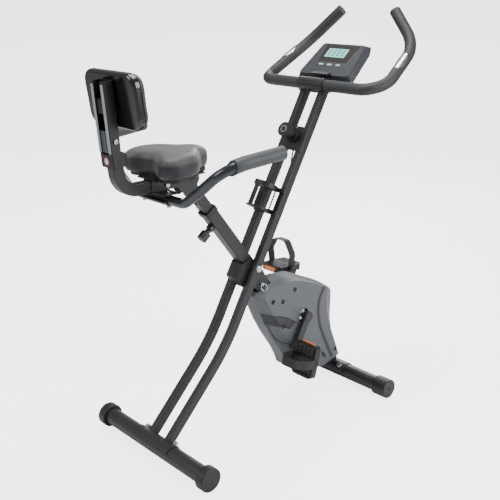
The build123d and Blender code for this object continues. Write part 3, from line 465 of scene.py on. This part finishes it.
base = low.z
saddle = cushion("saddle_pad", [
    saddle_ring(0.90, base), saddle_ring(0.955, base + 0.002), saddle_ring(0.985, base + 0.010),
    saddle_ring(0.995, base + 0.022), saddle_ring(0.985, base + 0.034, 0.001),
    saddle_ring(0.965, base + 0.041, 0.002), saddle_ring(0.90, base + 0.048, 0.003),
    saddle_ring(0.78, base + 0.052, 0.004), saddle_ring(0.5, base + 0.0535, 0.004),
    saddle_ring(0.2, base + 0.0535, 0.002)], "saddle", "seat", "saddle_cushion", 3.0, 0.003)
# sides below the seam take the darker cover as painted shade; the top keeps the lighter cover as painted
# light from above
saddle.data.materials.append(M["side"])
for polygon in saddle.data.polygons:
    if polygon.center.z < base + 0.036:
        polygon.material_index = 1
skin_of = skin_tree(saddle)
seam = []
for p in saddle_ring(1.15, base + 0.0365):
    start = Vector(p)
    aim = (Vector((middle.x, 0, start.z)) - start).normalized()
    hit = skin_of.ray_cast(start, aim)[0]
    if hit is not None:
        seam.append(hit)
if len(seam) > 20:
    tube("saddle_seam", seam, 0.0009, "side", "seat", closed=True, count=8)

# backrest: a rounded pad on its leaning shell
low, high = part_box("backrest_cushion")
pad_up = Vector((-math.sin(PANEL_LEAN), 0, math.cos(PANEL_LEAN)))
pad_out = Vector((math.cos(PANEL_LEAN), 0, math.sin(PANEL_LEAN)))
pad_middle = Vector(((low.x + high.x) / 2, 0, (low.z + high.z) / 2)) - pad_out * PAD_DEPTH / 2


def pad_ring(width, height, radius, out):
    """Rounded ring across the backrest pad, out from its shell."""
    return [pad_middle + pad_out * out + Vector((0, 1, 0)) * u + pad_up * v
            for u, v in rounded(width, height, radius, 8)]


backrest = cushion("backrest_pad", [
    pad_ring(0.184, 0.112, 0.026, 0.0), pad_ring(0.194, 0.122, 0.028, 0.001),
    pad_ring(0.199, 0.127, 0.029, 0.005), pad_ring(0.200, 0.128, 0.029, 0.010),
    pad_ring(0.196, 0.124, 0.028, 0.015), pad_ring(0.180, 0.108, 0.026, 0.019),
    pad_ring(0.140, 0.072, 0.024, 0.0205), pad_ring(0.08, 0.04, 0.016, 0.021)],
    "back", "backrest", "backrest_cushion", 3.0, 0.003)
skin_of = skin_tree(backrest)
seam = []
for p in pad_ring(0.23, 0.16, 0.045, 0.007):
    centre = pad_middle + pad_out * 0.007
    hit = skin_of.ray_cast(p, (centre - p).normalized())[0]
    if hit is not None:
        seam.append(hit)
if len(seam) > 20:
    tube("backrest_piping", seam, 0.0014, "back", "backrest", closed=True, count=8)

# ---------------------------------------------------------------- housing trim and painted recess shade
for side, word in ((-1, "right"), (1, "left")):
    band("front_band_" + word, [(0.266, 0.341), (0.246, 0.305), (0.243, 0.266), (0.252, 0.219),
                                (0.278, 0.160), (0.314, 0.090)], 0.010, side, "housing_dark")
    # dark skin at the top-rear: painted shade where the frame enters a recess in the housing
    skin("painted_recess_shade_" + word, [(0.024, 0.281), (0.062, 0.270), (0.094, 0.258), (0.116, 0.246)],
         [(0.004, 0.322), (0.055, 0.306), (0.105, 0.286), (0.142, 0.262)], side, "housing_dark", rows=8)
    band("panel_line_" + word, [(0.036, 0.282), (0.070, 0.226), (0.092, 0.206), (0.114, 0.198),
                                (0.136, 0.176)], 0.0016, side, "hole", lift=0.0002, thickness=0.0006)
    # vents: dark strips painted as the shade inside the slots
    for i in range(3):
        x = 0.262 + 0.0065 * i
        band(f"painted_vent_shade_{word}_{i}", [(x, 0.124 - 0.004 * i), (x + 0.004, 0.114 - 0.004 * i),
                                  (x + 0.008, 0.104 - 0.004 * i)], 0.0028, side, "hole",
             lift=0.0002, thickness=0.0006)
    crank = Vector(JOINTS["crank_spin"]["pos_m"])
    where = Vector((crank.x, side * 0.0445, crank.z))
    ring_of("crank_collar_" + word, 0.0225, 0.029, where, (1, 0, 0), (0, 0, side), 0.004,
            "housing", "front_frame", bevel=0.001)


# ---------------------------------------------------------------- console face
face_up = Vector((98, 0, 83)).normalized()
face_out = Vector((-83, 0, 98)).normalized()
window_base = CONSOLE_FOOT + face_out * 0.0004


def face_point(along):
    """Point on the middle line of the console face."""
    return window_base + face_up * along


solid_of("lcd_panel", rounded(0.075, 0.034, 0.002), face_point(0.086) + Vector((0, 0.004, 0)),
         (0, -1, 0), face_up, 0.0010, "lcd", "rear_frame", bevel=0.0003)
for row in range(3):
    for column in range(4):
        offset = -0.0255 + 0.017 * column
        solid_of(f"lcd_block_{row}_{column}", rounded(0.011, 0.0048, 0.0008, 2),
                 face_point(0.0955 - 0.0095 * row) + Vector((0, 0.004 - offset, 0)) + face_out * 0.0010,
                 (0, -1, 0), face_up, 0.0003, "lcd_dark", "rear_frame", bevel=0.0)
solid_of("console_lip", rounded(0.066, 0.020, 0.004), Vector((0.2735, 0, 0.9815)), (0, -1, 0),
         (1, 0, 0.18), 0.005, "plastic", "rear_frame", bevel=0.0015)

# ---------------------------------------------------------------- labels, knobs and reflectors
dial = JOINTS["tension_turn"]
dial_axis = Vector(dial["axis"]).normalized()
dial_side = Vector((0, 1, 0))
dial_up = dial_axis.cross(dial_side)
dial_face = Vector(dial["pos_m"]) + dial_axis * DIAL_HEIGHT
for i in range(9):
    angle = math.radians(DIAL_SWEEP * (i / 8 - 0.5))
    ray = dial_side * math.sin(angle) + dial_up * math.cos(angle)
    turn = dial_axis.cross(ray)
    solid_of(f"dial_mark_{i}", rounded(0.0014, 0.0036, 0.0005, 2), dial_face + ray * 0.0140, turn, ray,
             0.0004, "white", "tension_dial", bevel=0.0)
ring_of("dial_face_ring", 0.0085, 0.0093, dial_face, dial_side, dial_axis.cross(dial_side), 0.0005, "white",
        "tension_dial", bevel=0.0)

post_back = Vector((-0.8711, 0, 0.4912))
post_up = Vector((0.4912, 0, 0.8711))

# rail on the seat: light edges beside the slot, an insert low in it, a label on its socket
rail_up = Vector(JOINTS["backrest_height"]["axis"]).normalized()
rail_out = Vector((-rail_up.z, 0, rail_up.x))
for word, y in (("right", -0.0195), ("left", 0.0195)):
    solid_of("rail_edge_" + word, rounded(0.0100, 0.160, 0.0015, 2),
             RAIL_FOOT + rail_up * 0.084 + Vector((0, y, 0)) + rail_out * 0.0002, (0, -1, 0), rail_up, 0.0012,
             "light", "seat", bevel=0.0004)
solid_of("rail_insert", rounded(0.0235, 0.052, 0.0015, 2), RAIL_FOOT + rail_up * 0.030 - rail_out * 0.004,
         (0, -1, 0), rail_up, 0.0030, "slate", "seat", bevel=0.0004)
# grooves in the insert: dark strips painted as the shade inside them
for word, y in (("right", -0.0055), ("left", 0.0055)):
    solid_of("painted_groove_shade_" + word, rounded(0.0016, 0.050, 0.0005, 2),
             RAIL_FOOT + rail_up * 0.030 - rail_out * 0.0010 + Vector((0, y, 0)), (0, -1, 0), rail_up, 0.0003,
             "hole", "seat", bevel=0.0)
spot = RAIL_FOOT - rail_up * 0.016 + rail_out * 0.0003
solid_of("label_disc", circle(0.0100), spot, (0, -1, 0), rail_up, 0.0006, "white", "seat", bevel=0.0)
ring_of("label_ring", 0.0076, 0.0100, spot + rail_out * 0.0006, (0, -1, 0), rail_up, 0.0004, "red", "seat",
        bevel=0.0)

# screw wells on the housing: dark rings painted as the shade inside each well
work = bmesh.new()
work.from_mesh(NODES["housing_screws"].data)
heads = []
left_over = set(work.verts)
while left_over:
    stack, island = [left_over.pop()], []
    while stack:
        vertex = stack.pop()
        island.append(vertex.co.copy())
        for edge in vertex.link_edges:
            other = edge.other_vert(vertex)
            if other in left_over:
                left_over.remove(other)
                stack.append(other)
    heads.append(sum(island, Vector()) / len(island))
work.free()
for number, head in enumerate(sorted(heads, key=lambda p: (round(p.y, 3), round(p.x, 3)))):
    side = -1 if head.y < 0 else 1
    found = on_housing(head.x + 0.0065, head.z, side, 0.0)
    if found is not None:
        ring_of(f"painted_well_shade_{number}", 0.0036, 0.0072, Vector((head.x, found.y, head.z)), (1, 0, 0),
                (0, 0, side), 0.0006, "hole", "front_frame", bevel=0.0002)

# amber reflectors on both ends of each pedal
for name, turn in PEDAL_HANG.items():
    spin = Matrix.Rotation(math.radians(turn), 3, "Y")
    middle_of = Vector(JOINTS[name + "_spin"]["pos_m"])
    side = 1 if name == "pedal_left" else -1
    for end in (-1, 1):
        centre = middle_of + spin @ Vector((end * PEDAL_HALF, 0, 0)) + Vector((0, side * PEDAL_MIDDLE_Y, 0))
        solid_of(f"{name}_reflector_{'front' if end > 0 else 'rear'}", rounded(0.046, 0.011, 0.002, 3),
                 centre, (0, end, 0), spin @ Vector((0, 0, 1)), 0.0022, "amber", name, bevel=0.0005)

# small bolt near the top of each post, front face
pivot = Vector(JOINTS["frame_fold"]["pos_m"])
for name in ("post_right", "post_left"):
    post_low, post_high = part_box(name)
    middle_y = Vector((0, (post_low.y + post_high.y) / 2, 0))
    centre = pivot + post_up * POST_BOLT_HEIGHT - post_back * 0.0132 + middle_y
    solid_of("bolt_" + name, circle(0.0052, 24), centre, (0, 1, 0), post_up, 0.0042, "plastic", "rear_frame",
             bevel=0.0010)

# ---------------------------------------------------------------- camera
bpy.context.view_layer.update()
camera_data = bpy.data.cameras.new("camera")
camera = bpy.data.objects.new("camera", camera_data)
bpy.context.scene.collection.objects.link(camera)
camera.location = (-1.47775, -1.5724, 1.232)
camera.rotation_euler = (math.radians(71.523), 0, math.radians(-43.141))
camera_data.lens = 57.68
camera_data.sensor_width = 36.0
bpy.context.scene.camera = camera

# ---------------------------------------------------------------- room
def camera_only(tree, dim, bright, target):
    """Show the bright shader to the camera and the dim one to every other ray."""
    path = tree.nodes.new("ShaderNodeLightPath")
    mix = tree.nodes.new("ShaderNodeMixShader")
    tree.links.new(path.outputs["Is Camera Ray"], mix.inputs[0])
    tree.links.new(dim.outputs[0], mix.inputs[1])
    tree.links.new(bright.outputs[0], mix.inputs[2])
    tree.links.new(mix.outputs[0], target)


floor_mesh = bpy.data.meshes.new("floor")
floor_mesh.from_pydata([(-14, -14, 0), (14, -14, 0), (14, 14, 0), (-14, 14, 0)], [], [(0, 1, 2, 3)])
floor = bpy.data.objects.new("floor", floor_mesh)
bpy.context.scene.collection.objects.link(floor)
pale = bpy.data.materials.new("pale_floor")
pale.use_nodes = True
nodes = pale.node_tree.nodes
nodes["Principled BSDF"].inputs["Base Color"].default_value = (0.80, 0.80, 0.80, 1)
nodes["Principled BSDF"].inputs["Roughness"].default_value = 0.8
lift = nodes.new("ShaderNodeEmission")
lift.inputs["Strength"].default_value = 3.2
glow = nodes.new("ShaderNodeAddShader")
pale.node_tree.links.new(nodes["Principled BSDF"].outputs[0], glow.inputs[0])
pale.node_tree.links.new(lift.outputs[0], glow.inputs[1])
camera_only(pale.node_tree, nodes["Principled BSDF"], glow, nodes["Material Output"].inputs["Surface"])
floor_mesh.materials.append(pale)


def lamp(name, place, aim, size, power):
    """Soft rectangular lamp aimed at a point."""
    data = bpy.data.lights.new(name, "AREA")
    data.shape = "RECTANGLE"
    data.size, data.size_y = size
    data.energy = power
    obj = bpy.data.objects.new(name, data)
    bpy.context.scene.collection.objects.link(obj)
    obj.location = place
    obj.rotation_mode = "QUATERNION"
    obj.rotation_quaternion = (Vector(aim) - Vector(place)).to_track_quat("-Z", "Y")


# name, place, aim, panel size in metres and power in watts
lamp("key_right", (0.9, -3.0, 1.7), (0, 0, 0.55), (1.6, 2.2), 95)
lamp("fill_left", (-2.6, 1.0, 2.2), (0, 0, 0.6), (1.2, 1.4), 38)
lamp("top", (0.1, 0.1, 3.2), (0, 0, 0.5), (2.0, 2.0), 90)
lamp("rim_front", (2.4, 1.6, 1.8), (0, 0, 0.6), (1.2, 1.6), 45)
world = bpy.data.worlds.new("studio")
bpy.context.scene.world = world
world.use_nodes = True
nodes = world.node_tree.nodes
nodes["Background"].inputs["Color"].default_value = (1, 1, 1, 1)
nodes["Background"].inputs["Strength"].default_value = 0.30
white = nodes.new("ShaderNodeBackground")
white.inputs["Strength"].default_value = 4.0
camera_only(world.node_tree, nodes["Background"], white, nodes["World Output"].inputs["Surface"])
